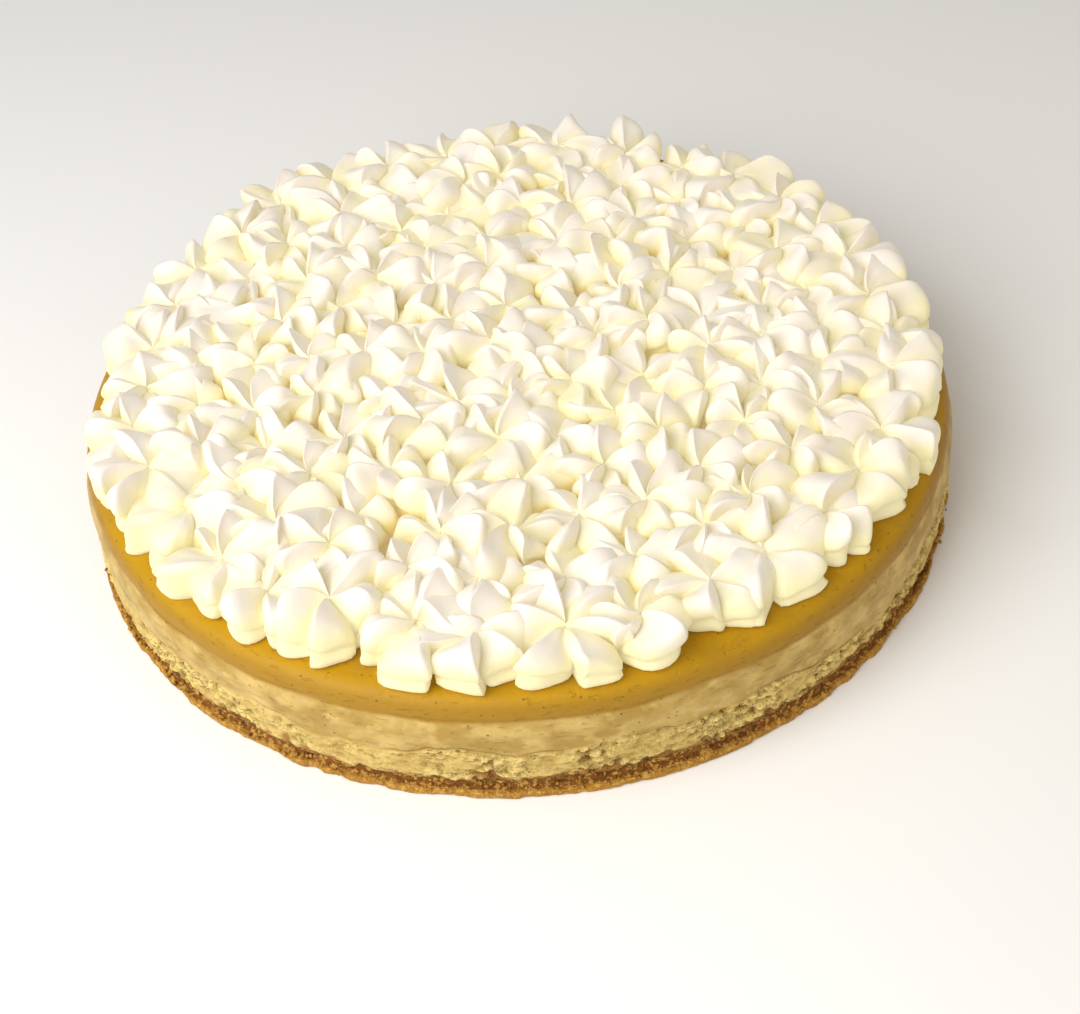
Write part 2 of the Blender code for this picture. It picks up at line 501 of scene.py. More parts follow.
@dataclass(frozen=True)
class CreamFinish:
    """Whipped cream: ivory and satin, with painted yellow shade down in the grooves and a painted glow that
    lifts its shadows.

    Attributes:
        high, low: the colour of the ridges and the painted yellow shade of the grooves.
        pit: the painted golden reflection and shade deep between the stars, in the filling's colour.
        inner, painted_glow_share: a painted glow in pale yellow and its strength, which lifts the cream's
            shadows in place of light scattered inside it.
    """

    high: Colour = (0.74, 0.68, 0.64)
    # Painted shade: the grooves' yellow stands in for light bounced inside the cream.
    low: Colour = (0.735, 0.67, 0.37)
    # Painted reflection and shade: the filling's golden colour painted on low cream between the stars.
    pit: Colour = (0.66, 0.50, 0.07)
    painted_glow: Colour = (1.0, 0.955, 0.73)
    painted_glow_share: float = 0.18

    def material(self) -> Material:
        """Paints the cream.

        Returns:
            Its material.
        """
        board = NodeBoard("whipped_cream_finish")
        cloud = board.combine("MULTIPLY", board.noise(0.011, 3.0), 0.5)
        tone = board.combine("ADD", board.mark("depth"), cloud)
        # Painted shade: the deeper in a groove, the more the low colour, with random clouds.
        colour = board.blend(board.ramp(tone, 0.80, 0.35), self.low, self.high)
        inputs = {
            # Painted reflection and shade in the pits between the stars.
            "Base Color": board.blend(board.mark("pit"), colour, self.pit),
            "Roughness": board.spread(board.noise(0.004, 2.0), 0.38, 0.52),
            "Specular IOR Level": 0.35,
            # Painted glow: a weak emission lifts the cream's shadows.
            "Emission Color": (*self.painted_glow, 1.0),
            "Emission Strength": self.painted_glow_share,
        }
        bump = board.bump([(board.noise(0.0030, 3.0), 0.00016), (board.noise(0.0005, 1.0), 0.00002)])
        board.feed(board.shader, inputs | bump)
        return board.material


@dataclass(frozen=True)
class BakedFinish:
    """Baked filling: a golden skin on top, a browner round, and a tan side that is crumbly below.

    Attributes:
        skin, browned: the colours of the top and of its round rim.
        smooth_side, rough_side: the colours of the upper and the lower side.
        smear: the colour of paler patches where the side was scraped.
        hollow, speck: the painted shade in pits, cracks, pores and scratches, and the colour of the spice.
        crust_stain: the colour where crust clings to the lowest edge.
    """

    skin: Colour = (0.47, 0.255, 0.004)
    browned: Colour = (0.37, 0.20, 0.016)
    smooth_side: Colour = (0.40, 0.255, 0.058)
    rough_side: Colour = (0.96, 0.745, 0.26)
    smear: Colour = (0.80, 0.60, 0.225)
    hollow: Colour = (0.25, 0.135, 0.016)
    speck: Colour = (0.16, 0.07, 0.02)
    crust_stain: Colour = (0.36, 0.16, 0.035)

    def material(self) -> Material:
        """Paints the filling.

        Returns:
            Its material.
        """
        board = NodeBoard("baked_filling_finish")
        rough = board.mark("crumbly")
        on_top = board.mark("skin")
        wave = board.combine("MULTIPLY", board.noise(0.02, 3.0), 0.5)
        browned = board.combine("ADD", board.mark("browned"), wave)
        scratch = board.ramp(board.noise(0.0040, 3.0, 4.0), 0.60, 0.70)
        mottled = board.ramp(board.noise(0.012, 5.0), 0.48, 0.68)
        # Painted shade in pores: dark dots in the crumbly part.
        painted_pore_shade = board.ramp(board.cells(0.0015, 0.0006), 0.24, 0.14)
        layers = [
            (board.ramp(board.noise(0.009, 4.0, 1.6), 0.3, 0.75), 0.55, self.smear),
            (board.ramp(board.noise(0.0060, 4.0, 1.4), 0.56, 0.66), 0.3, self.smear),
            # Painted shade in the scratches, which the bump also dents.
            (scratch, 0.12, self.hollow),
            (board.ramp(browned, 0.35, 1.1), 1.0, self.browned),
            (on_top, 1.0, self.skin),
            (board.combine("MULTIPLY", mottled, on_top), 0.55, self.browned),
            (board.mark("hollow"), 1.0, self.hollow),
            (board.combine("MULTIPLY", painted_pore_shade, rough), 0.8, self.hollow),
            (board.ramp(board.cells(0.0036, 0.0005), 0.11, 0.07), 0.75, self.speck),
            (board.mark("stain"), 1.0, self.crust_stain),
        ]
        inputs = {
            "Base Color": board.layered(board.blend(rough, self.smooth_side, self.rough_side), layers),
            "Roughness": board.spread(rough, 0.48, 0.78),
            "Specular IOR Level": 0.2,
            "Subsurface Weight": 0.1,
            "Subsurface Radius": (1.0, 0.5, 0.15),
            "Subsurface Scale": 0.0015,
        }
        grit = board.combine("MULTIPLY", board.noise(0.0009, 5.0), rough)
        bump = board.bump([(board.noise(0.0030, 4.0), 0.0003), (scratch, -0.0002), (grit, 0.0015)])
        board.feed(board.shader, inputs | bump)
        return board.material


@dataclass(frozen=True)
class CrumbFinish:
    """Pressed crumbs: moist brown above, dry and golden on the foot.

    Attributes:
        dark, pale: the colours of the band and of the foot.
        grain, hollow: the colour of single crumbs and the painted shade in the gaps between them.
    """

    dark: Colour = (0.25, 0.095, 0.014)
    pale: Colour = (0.46, 0.23, 0.035)
    grain: Colour = (0.66, 0.38, 0.085)
    hollow: Colour = (0.10, 0.038, 0.010)

    def material(self) -> Material:
        """Paints the crust.

        Returns:
            Its material.
        """
        board = NodeBoard("crumb_crust_finish")
        grains = board.ramp(board.noise(0.0015, 4.0), 0.52, 0.58)
        band = board.blend(board.mark("foot"), self.dark, self.pale)
        layers = [(grains, 0.8, self.grain), (board.mark("hollow"), 1.0, self.hollow)]
        inputs = {"Base Color": board.layered(band, layers), "Roughness": 0.85, "Specular IOR Level": 0.25}
        bump = board.bump([(board.noise(0.0013, 4.0), 0.0009), (board.cells(0.0008, 0.0006), 0.00035)])
        board.feed(board.shader, inputs | bump)
        return board.material


@dataclass(frozen=True)
class FloorFinish:
    """A plain pale floor with the faintest unevenness."""

    tone: Colour = (0.93, 0.93, 0.93)

    def material(self) -> Material:
        """Paints the floor.

        Returns:
            Its material.
        """
        board = NodeBoard("pale_floor_finish")
        rough = board.spread(board.noise(0.05, 2.0), 0.85, 0.95)
        board.feed(board.shader, {"Base Color": (*self.tone, 1.0), "Roughness": rough})
        return board.material


@dataclass(frozen=True)
class PetalShape:
    """How petals are bent. Where it gives a span, each petal draws its own value from it.

    Attributes:
        climb_ease, bow, fall: powers that round the climb to the ridge and the drop behind it.
        fold_place, fold_height: where on the climb a lower fold lies and how high it is, as shares.
        end_power: how pointed the petal's end is, where a low power is blunt.
        end_skew: the power that moves the end's tip off the petal's middle.
        ridge_bend: the power by which the ridge leaves the petal's middle on its way out.
        length_wave, height_wave: how far the hem flutters, as shares of the petal's length and height.
        tuck_place, tuck_width: where the hem is tucked in above the skirt, as shares of the way down.
        tuck_depth: how far it is tucked in at most, as a share of the star's radius.
        overhang: how far the ridge leans over the next petal, as a share of the petal's width.
        twist: how far all petals turn towards the star's middle, in radians.
        wobble: how far the cream's unevenness moves its skin. Up to the height steady_foot it fades.
        rows: the points from a star's middle down to its foot.
        gentle, steep: the points up to a petal's ridge and down behind it.
    """

    climb_ease: float = 1.4
    bow: Span = (1.1, 1.9)
    fall: Span = (0.55, 0.9)
    fold_place: Span = (0.25, 0.5)
    fold_height: Span = (0.08, 0.36)
    end_power: Span = (0.42, 0.90)
    end_skew: float = 1.12
    ridge_bend: float = 0.7
    length_wave: float = 0.10
    height_wave: float = 0.07
    tuck_place: Span = (0.64, 0.80)
    tuck_depth: float = 0.11
    tuck_width: float = 0.05
    overhang: Span = (0.08, 0.30)
    twist: Span = (0.2, 1.0)
    wobble: float = 0.0009
    steady_foot: float = 0.004
    rows: int = 30
    gentle: int = 9
    steep: int = 5


@dataclass
class PipedStar:
    """One star of cream: petals that rise from a pinched middle, roll over a lip and end in a skirt.

    Attributes:
        middle: where its foot's middle is, from the cake's axis.
        radius, height: how far an average petal reaches and how tall it stands.
        turn: where its first petal starts.
        lengths, lifts: each petal's reach and height, as shares of radius and height.
        widths: the angle that each petal takes, which together make a full turn.
        ridges: how far past its middle each petal's ridge lies, as a share of the petal's width.
        hand: 1 where the petals lean anticlockwise, -1 where they lean clockwise.
        lean: how far the star leans along X and Y for each metre of its height.
        free_radius, edge_radius: how far from the cake's axis it spreads freely and at most.
    """

    middle: Span
    radius: float
    height: float
    turn: float
    lengths: Array
    lifts: Array
    widths: Array
    ridges: Array
    hand: int
    lean: Array
    shape: PetalShape = PetalShape()
    free_radius: float = 0.1185
    edge_radius: float = 0.1235

    # A petal's own line, then that of the groove between two, as (share of radius, share of height). They
    # run from the pinched middle over the crest, down the blunt end and over the skirt to the foot.
    PETAL_LINE = [
        (0.0, 0.68), (0.08, 0.73), (0.20, 0.82), (0.36, 0.92), (0.53, 0.99), (0.70, 1.0), (0.84, 0.95),
        (0.94, 0.84), (0.99, 0.71), (1.0, 0.58), (0.97, 0.49), (0.93, 0.42), (0.95, 0.32), (0.99, 0.18),
        (0.96, 0.06), (0.87, -0.015),
    ]
    GROOVE_LINE = [
        (0.0, 0.68), (0.07, 0.67), (0.15, 0.66), (0.26, 0.64), (0.37, 0.61), (0.46, 0.57), (0.53, 0.51),
        (0.57, 0.44), (0.595, 0.36), (0.61, 0.29), (0.615, 0.23), (0.615, 0.17), (0.61, 0.13), (0.61, 0.08),
        (0.60, 0.03), (0.56, -0.015),
    ]

    def skin(self, unevenness: LatticeNoise, rng: Random) -> tuple[Array, Array]:
        """Works out the star's skin, and how deep in a groove each of its points is.

        Across a petal, the height climbs slowly from one groove to a crisp ridge and drops steeply behind
        it, as on a pinwheel, and the ridge leans over the next petal. The reach follows a low power of a
        sine, so the petal ends broad and blunt.

        Args:
            unevenness: the unevenness of the cream.
            rng: the source of how the petals turn, lean and flutter.

        Returns:
            Points of shape (rows, columns, 3), and for each a depth from 0 on a ridge to 1 in a groove.
        """
        shape = self.shape
        petals = len(self.lengths)
        down = np.linspace(0.0, 1.0, shape.rows + 1)[1:]
        crest = through_points(self.PETAL_LINE, down)
        groove = through_points(self.GROOVE_LINE, down)
        outward = np.minimum(crest[:, :1], 1.0)
        petal = np.repeat(np.arange(petals), shape.gentle + shape.steep)

        up = np.arange(shape.gentle) / shape.gentle
        back_down = np.arange(shape.steep) / shape.steep
        climb = 1.0 - (1.0 - np.tile([*up, *np.ones(shape.steep)], petals)) ** shape.climb_ease
        fall = np.tile([*np.zeros(shape.gentle), *back_down], petals)
        bow = rng.uniform(*shape.bow, petals)[petal]
        share = climb**bow * (1.0 - fall) ** rng.uniform(*shape.fall, petals)[petal]
        fold = rng.uniform(*shape.fold_place, petals)[petal]
        fold_height = rng.uniform(*shape.fold_height, petals)[petal]
        rise = np.where(climb < fold, climb / fold, (1.0 - climb) / (1.0 - fold))
        share = share + fold_height * rise * (1.0 - fall)
        ridge = 0.5 + self.ridges[petal] * outward**shape.ridge_bend
        across = ridge * climb + (1.0 - ridge) * fall
        broad = np.sin(np.pi * across**shape.end_skew) ** rng.uniform(*shape.end_power, petals)[petal]

        # A hem makes a little more than one full wave across its petal.
        flutter = rng.uniform(0.0, 2.0 * np.pi, (2, petals))[:, petal]
        out_wave = np.sin(8.0 * across + flutter[0]) * outward
        up_wave = np.sin(7.0 * across + flutter[1]) * outward**2
        length = self.lengths[petal] * (1.0 + shape.length_wave * out_wave)
        lift = self.lifts[petal] * (1.0 + shape.height_wave * up_wave)
        tuck_place = rng.uniform(*shape.tuck_place, petals)[petal]
        tuck_depth = rng.uniform(0.0, shape.tuck_depth, petals)[petal]
        tuck = tuck_depth * bell(down[:, None] - tuck_place, shape.tuck_width)
        reach = groove[:, :1] + broad * ((crest[:, :1] - tuck) * length - groove[:, :1])
        level = groove[:, 1:] + share * (crest[:, 1:] * lift - groove[:, 1:])

        overhang = rng.uniform(*shape.overhang, petals)[petal] * share**2 * outward
        starts = np.cumsum(self.widths) - self.widths
        round_it = starts[petal] + self.widths[petal] * (across + overhang)
        angle = self.turn + self.hand * (round_it + rng.uniform(*shape.twist) * (1.0 - outward) ** 1.5)
        if self.hand < 0:
            angle, reach, level = angle[:, ::-1], reach[:, ::-1], level[:, ::-1]
        flat, tall = self.radius * reach, self.height * level
        skin = np.stack(
            [
                self.middle[0] + flat * np.cos(angle) + self.lean[0] * tall,
                self.middle[1] + flat * np.sin(angle) + self.lean[1] * tall,
                tall,
            ],
            axis=-1,
        )
        swell = np.stack([unevenness.at(skin + offset) for offset in (0.0, 1.7, 3.1)], axis=-1)
        skin = skin + shape.wobble * swell * smooth_step(0.0, shape.steady_foot, tall)[..., None]
        # The depth drives the cream's painted groove shade.
        depth = np.broadcast_to(1.0 - level / level.max(), skin.shape[:2])
        return self.held_inside(skin), depth

    def held_inside(self, skin: Array) -> Array:
        """Presses what passes the rim's edge back inside it, more and more towards the very edge.

        Args:
            skin: the star's points.

        Returns:
            The same points, pressed.
        """
        out = np.hypot(skin[..., 0], skin[..., 1])
        past = np.maximum(out - self.free_radius, 0.0)
        room = self.edge_radius - self.free_radius
        pressed = np.minimum(out, self.free_radius) + room * np.tanh(past / room)
        skin[..., :2] *= (pressed / out)[..., None]
        return skin


@dataclass
class PipedCream:
    """All the stars on the cake's top, ring by ring.

    Attributes:
        level: the height of the cake's top, where the stars stand.
        star_radius, star_height: an average star's size. The rim's stars are rim_growth times as wide.
        spacing: the gap between the stars of a ring.
        ring_pitch: the gap between rings, from outer_ring in to innermost_share of a gap.
        place_spread: how far a star is off its even place, as a share of the spacing.
        ring_spread: how far it is off its ring.
        radius_spread, height_spread: how much the stars' sizes differ, as shares.
        length_spread, lift_spread, width_spread: how much a star's petals differ, as shares.
        petal_counts, petal_chances: how many petals a star has, and how often.
        ridge_past_middle: how far past a petal's middle its ridge lies, as a share of its width.
        turned_back_share: the share of stars whose petals lean clockwise.
        lean_spread: how far a star leans at most for each metre of its height.
        painted_pit_reflection_level, painted_pit_reflection_radius: the heights and distances from the axis
        between which the painted golden reflection and shade of a pit sets in.
    """

    level: float
    finish: CreamFinish = CreamFinish()
    star_radius: float = 0.0134
    star_height: float = 0.0135
    rim_growth: float = 1.18
    spacing: float = 0.0195
    ring_pitch: float = 0.0168
    outer_ring: float = 0.1075
    innermost_share: float = 0.3
    place_spread: float = 0.13
    radius_spread: float = 0.14
    height_spread: float = 0.14
    length_spread: float = 0.24
    lift_spread: float = 0.16
    width_spread: float = 0.32
    ring_spread: float = 0.0014
    petal_counts: tuple[int, int, int] = (5, 6, 7)
    petal_chances: tuple[float, float, float] = (0.6, 0.35, 0.05)
    ridge_past_middle: Span = (0.05, 0.30)
    turned_back_share: float = 0.2
    lean_spread: float = 0.2
    place_seed: int = 2007
    painted_pit_reflection_level: Span = (0.0078, 0.0058)
    painted_pit_reflection_radius: Span = (0.111, 0.103)

    def rings(self) -> list[list[PipedStar]]:
        """Places the stars: rings from the rim inwards, each star a little off its even place.

        Returns:
            One list of stars for each ring, the outermost first.
        """
        rng = np.random.default_rng(self.place_seed)
        rings = []
        ring_radius = self.outer_ring
        while ring_radius > self.innermost_share * self.ring_pitch:
            count = round(2 * math.pi * ring_radius / self.spacing)
            start = rng.uniform(0, 2 * math.pi)
            rings.append([self.star(rng, ring_radius, start, place, count) for place in range(count)])
            ring_radius -= self.ring_pitch
        return rings

    def star(self, rng: Random, ring_radius: float, start: float, place: int, count: int) -> PipedStar:
        """Places one star of a ring.

        Args:
            rng: the source of the star's own differences.
            ring_radius: the ring's radius.
            start: where the ring's first star is.
            place: which star of the ring this is.
            count: how many stars the ring has.

        Returns:
            The star.
        """
        angle = start + 2 * math.pi * (place + self.place_spread * rng.uniform(-1, 1)) / count
        radius = ring_radius + self.ring_spread * rng.uniform(-1, 1)
        petals = int(rng.choice(self.petal_counts, p=self.petal_chances))
        shares = 1 + self.width_spread * rng.uniform(-1, 1, petals)
        growth = self.rim_growth if ring_radius == self.outer_ring else 1.0
        return PipedStar(
            middle=(radius * math.cos(angle), radius * math.sin(angle)),
            radius=self.star_radius * growth * (1 + self.radius_spread * rng.uniform(-1, 1)),
            height=self.star_height * (1 + self.height_spread * rng.uniform(-1, 1)),
            turn=rng.uniform(0, 2 * math.pi),
            lengths=1 + self.length_spread * rng.uniform(-1, 1, petals),
            lifts=1 + self.lift_spread * rng.uniform(-1, 1, petals),
            widths=2 * math.pi * shares / shares.sum(),
            ridges=rng.uniform(*self.ridge_past_middle, petals),
            hand=-1 if rng.uniform() < self.turned_back_share else 1,
            lean=rng.uniform(-self.lean_spread, self.lean_spread, 2),
        )

    def build(self) -> list[Piece]:
        """Builds the stars.

        Returns:
            One piece for each of the outer rings and one for the middle.
        """
        unevenness = LatticeNoise(0.006, 0.006, 5)
        rng = np.random.default_rng(self.place_seed + 1)
        rings = self.rings()
        outer_names = ["rim", "second_ring", "third_ring", "fourth_ring"]
        groups = {f"cream_stars_{name}": ring for name, ring in zip(outer_names, rings)}
        groups["cream_stars_middle"] = list(itertools.chain(*rings[len(outer_names) :]))
        material = self.finish.material()
        pieces = []
        for name, stars in groups.items():
            builder = SkinBuilder()
            for star in stars:
                skin, depth = star.skin(unevenness, rng)
                out = np.hypot(skin[..., 0], skin[..., 1])
                # Painted reflection and shade: low cream inside the rim takes the filling's golden colour.
                pit = smooth_step(*self.painted_pit_reflection_level, skin[..., 2]) * smooth_step(*self.painted_pit_reflection_radius, out)
                skin[..., 2] += self.level
                builder.add(skin, depth=depth, pit=pit)
            pieces.append(builder.build(name, material))
        return pieces


@dataclass(frozen=True)
class SideRelief:
    """How far each form on the filling's side stands out or goes in, in metres.

    Swells and dimples lie all over it, the others mostly below the crack. The crack's level, its wander, its
    shorter steps and its width are shares of the side's height.
    """

    swell: float = 0.0004
    dimple: float = 0.00016
    lump: float = 0.0007
    crumb: float = 0.00055
    gap: float = 0.0008
    fine_crumb: float = 0.00025
    fine_gap: float = 0.00030
    fissure: float = 0.0008
    pit: float = 0.0009
    speck_pit: float = 0.0004
    crack: float = 0.0007
    crease: float = 0.0003
    crack_level: float = 0.47
    crack_wander: float = 0.20
    crack_step: float = 0.07
    crack_width: float = 0.012


@dataclass
class BakedFilling:
    """The filling: a flat golden top, a round rim, and a side that is smooth above and crumbly below.

    Attributes:
        top, bottom: the heights of its flat top and its underside.
        side: its side's radius.
        rim_round: the radius of its round rim.
        set_back, tuck_in: how far the rim and the side's foot stand back from the side.
    """

    top: float
    bottom: float
    side: float
    finish: BakedFinish = BakedFinish()
    relief: SideRelief = SideRelief()
    rim_round: float = 0.0052
    set_back: float = 0.0013
    tuck_in: float = 0.0006
    columns: int = 1200
    side_rows: int = 62

    def section(self) -> Array:
        """Draws the half section from the axis over the rim, down the side and back.

        Returns:
            (radius, height) rows.
        """
        rim = self.side - self.set_back
        shoulder = self.top - self.rim_round
        flat = [(radius, self.top) for radius in (0.03, 0.08, 0.106, 0.111, 0.115, 0.1175)]
        turn = np.linspace(0.0, np.pi / 2, 10)
        back = self.rim_round * (1 - np.sin(turn))
        arc = np.stack([rim - back, shoulder + self.rim_round * np.cos(turn)], axis=-1)
        share = np.linspace(0.0, 1.0, self.side_rows)[1:]
        out = self.set_back * smooth_step(0.0, 0.25, share) - self.tuck_in * smooth_step(0.9, 1.0, share)
        wall = np.stack([rim + out, shoulder + share * (self.bottom - shoulder)], axis=-1)
        under = [(self.side - 0.003, self.bottom), (0.06, self.bottom), (0.02, self.bottom)]
        return np.concatenate([flat, arc, wall, under])

    def build(self) -> Piece:
        """Turns the section about the axis and adds the relief.

        One torn crack wanders round the middle of the side. Above it the side is smooth but for swells and
        a crease under the rim. Below it are lumps, packed crumbs of two sizes with gaps between them, pits
        where a crumb is missing, and short fissures where folded noise is near its ridge.

        Returns:
            The filling's piece.
        """
        turned = TurnedGrid(self.section(), self.columns)
        grid, radius, height = turned.points, turned.radius, turned.height
        deep = self.relief
        shoulder = self.top - self.rim_round
        level = (height - self.bottom) / (shoulder - self.bottom)
        on_side = smooth_step(1.12, 0.98, level) * smooth_step(-0.01, 0.02, level)
        on_side = on_side * smooth_step(self.side - 0.004, self.side - 0.002, radius)

        slow = LatticeNoise(0.02, 0.012, 11).layered(grid, 2)
        lumps = LatticeNoise(0.0048, 0.003, 12).layered(grid, 3)
        folded = 1.0 - np.abs(LatticeNoise(0.006, 0.0022, 13).layered(grid, 2))
        broken = smooth_step(0.05, 0.35, LatticeNoise(0.0045, 0.0032, 14).at(grid))
        off, size = CrumbCells(0.0027, 0.0017, 40).at(grid)
        fine_off, fine_size = CrumbCells(0.0013, 0.0010, 60).at(grid)

        around = turned.level_ring(0.12)
        wander = LatticeNoise(0.026, 1.0, 15).layered(around, 4)
        steps = LatticeNoise(0.007, 1.0, 18).layered(around, 3)
        line = deep.crack_level + deep.crack_wander * wander + deep.crack_step * steps
        patchy = smooth_step(-0.40, 0.40, LatticeNoise(0.011, 0.006, 17).layered(grid, 2))
        crumbly = smooth_step(line + 0.02, line - 0.05, level) * (0.35 + 0.65 * patchy)
        torn = smooth_step(-0.35, 0.10, LatticeNoise(0.016, 1.0, 16).layered(around, 2))
        crack = bell(level - line, deep.crack_width) * torn
        fissure = smooth_step(0.90, 0.985, folded) * broken * (0.10 + 0.90 * crumbly)
        gap = smooth_step(0.40, 0.75, off) * crumbly
        fine_gap = smooth_step(0.4, 0.9, fine_off) * crumbly
        pit = smooth_step(-0.35, -0.70, size) * smooth_step(0.80, 0.40, off) * crumbly
        speck_pit = smooth_step(-0.6, -0.8, fine_size) * smooth_step(0.75, 0.4, fine_off)
        speck_pit = speck_pit * (0.12 + 0.88 * crumbly)
        crease = bell(level - 0.955 - 0.012 * wander, 0.018) * (0.4 + 0.6 * torn)

        crumbs = deep.lump * lumps + deep.crumb * size + deep.fine_crumb * fine_size
        relief = deep.swell * slow + deep.dimple * lumps + crumbly * (crumbs - deep.gap * gap)
        relief -= deep.fine_gap * fine_gap + deep.fissure * fissure + deep.pit * pit
        relief -= deep.speck_pit * speck_pit + deep.crack * crack + deep.crease * crease
        turned.move_out(relief * on_side)

        over_rim = smooth_step(self.top - 0.0030, self.top - 0.0002, height + 0.0005 * slow)
        near_rim = smooth_step(0.89, 1.01, level + 0.07 * slow)
        near_rim = near_rim * smooth_step(self.side - 0.012, self.side - 0.004, radius)
        # Painted shade: fissures, gaps, pits, cracks and the crease under the rim are darkened in colour as
        # well as dented.
        hollow = 0.7 * fissure + 0.35 * gap + 0.85 * pit + 0.7 * speck_pit + 0.8 * crack + 0.4 * crease
        hollow = np.clip(hollow, 0.0, 1.0) * on_side
        stain = smooth_step(0.10, 0.03, level + 0.10 * lumps + 0.03 * size) * on_side
        crumbly = crumbly * on_side
        builder = SkinBuilder()
        builder.add(grid, crumbly=crumbly, hollow=hollow, skin=over_rim, browned=near_rim, stain=stain)
        return builder.build("baked_filling", self.finish.material())


@dataclass
class CrumbCrust:
    """The crust: a moist crumb band over a pale ragged foot.

    Attributes:
        height: how thick the crust is.
        radius: how far its foot reaches.
        foot_height, foot_proud: how tall its foot is and how far it stands out past the band.
        lump, grain: how far lumps and single crumbs stand out of the band.
        flake: how far the foot's edge is broken back.
    """

    height: float
    radius: float
    finish: CrumbFinish = CrumbFinish()
    foot_height: float = 0.0020
    foot_proud: float = 0.0021
    lump: float = 0.0011
    grain: float = 0.0006
    flake: float = 0.0011
    columns: int = 1100

    def section(self) -> Array:
        """Draws the half section from the axis over the band and the foot and back.

        Returns:
            (radius, height) rows.
        """
        wall = self.radius - self.foot_proud
        flat = [(radius, self.height) for radius in (0.03, 0.09, wall - 0.004, wall - 0.002)]
        band_radius, edge_radius = wall - 0.0006, self.radius - 0.0005
        foot = self.foot_height
        band = np.linspace((band_radius, self.height - 0.0002), (band_radius, foot + 0.0004), 20)
        ledge = np.linspace((wall - 0.0002, foot), (self.radius - 0.0008, foot), 8)
        edge = np.linspace((edge_radius, foot - 0.0003), (edge_radius, 0.0002), 10)
        under = [(radius, 0.0) for radius in (self.radius - 0.0015, wall - 0.004, 0.09, 0.03)]
        return np.concatenate([flat, band, ledge, edge, under])

    def build(self) -> Piece:
        """Turns the section about the axis and adds the crumb relief.

        Every point of the outer side moves in or out by layered noise. The foot has a noise of its own, cut
        off above, so its edge is broken into flakes, and its upper face rises and falls.

        Returns:
            The crust's piece.
        """
        turned = TurnedGrid(self.section(), self.columns)
        grid, radius, height = turned.points, turned.radius, turned.height
        wall = self.radius - self.foot_proud
        outer = smooth_step(wall - 0.003, wall - 0.001, radius)
        lumps = LatticeNoise(0.0036, 0.0026, 21).layered(grid, 3)
        off, size = CrumbCells(0.0017, 0.0013, 80).at(grid)
        fine = size * smooth_step(0.85, 0.35, off)
        around = turned.level_ring(self.radius)
        ragged = LatticeNoise(0.0055, 1.0, 23).layered(around, 3)
        sweep = LatticeNoise(0.04, 1.0, 24).at(around)
        on_foot = smooth_step(wall - 0.0004, wall + 0.0008, radius)

        relief = (self.lump * lumps + self.grain * fine) * outer * (1.0 - 0.6 * on_foot)
        reach = np.minimum(0.0, self.flake * ragged + 0.0005 * sweep - 0.0003) + 0.0002 * fine
        relief = relief * (1.0 - on_foot) + reach * on_foot
        turned.move_out(np.minimum(relief, self.radius - radius))
        on_ledge = on_foot * smooth_step(0.0012, self.foot_height, height)
        grid[..., 2] += on_ledge * (0.0005 * lumps + 0.0003 * ragged + 0.0002 * fine)
        grid[..., 2] = np.clip(grid[..., 2], 0.0, self.height)

        foot = smooth_step(0.45, 0.80, on_foot + 0.20 * lumps)
        # Painted shade in the gaps between crumbs and on low lumps.
        gaps = 0.5 * smooth_step(0.5, 0.9, off) + 0.4 * smooth_step(-0.1, -0.7, lumps)
        hollow = np.clip(gaps, 0.0, 1.0) * outer * (1.0 - 0.5 * on_foot)
        builder = SkinBuilder()
        builder.add(grid, foot=foot, hollow=0.8 * hollow)
        return builder.build("pressed_crumb_crust", self.finish.material())


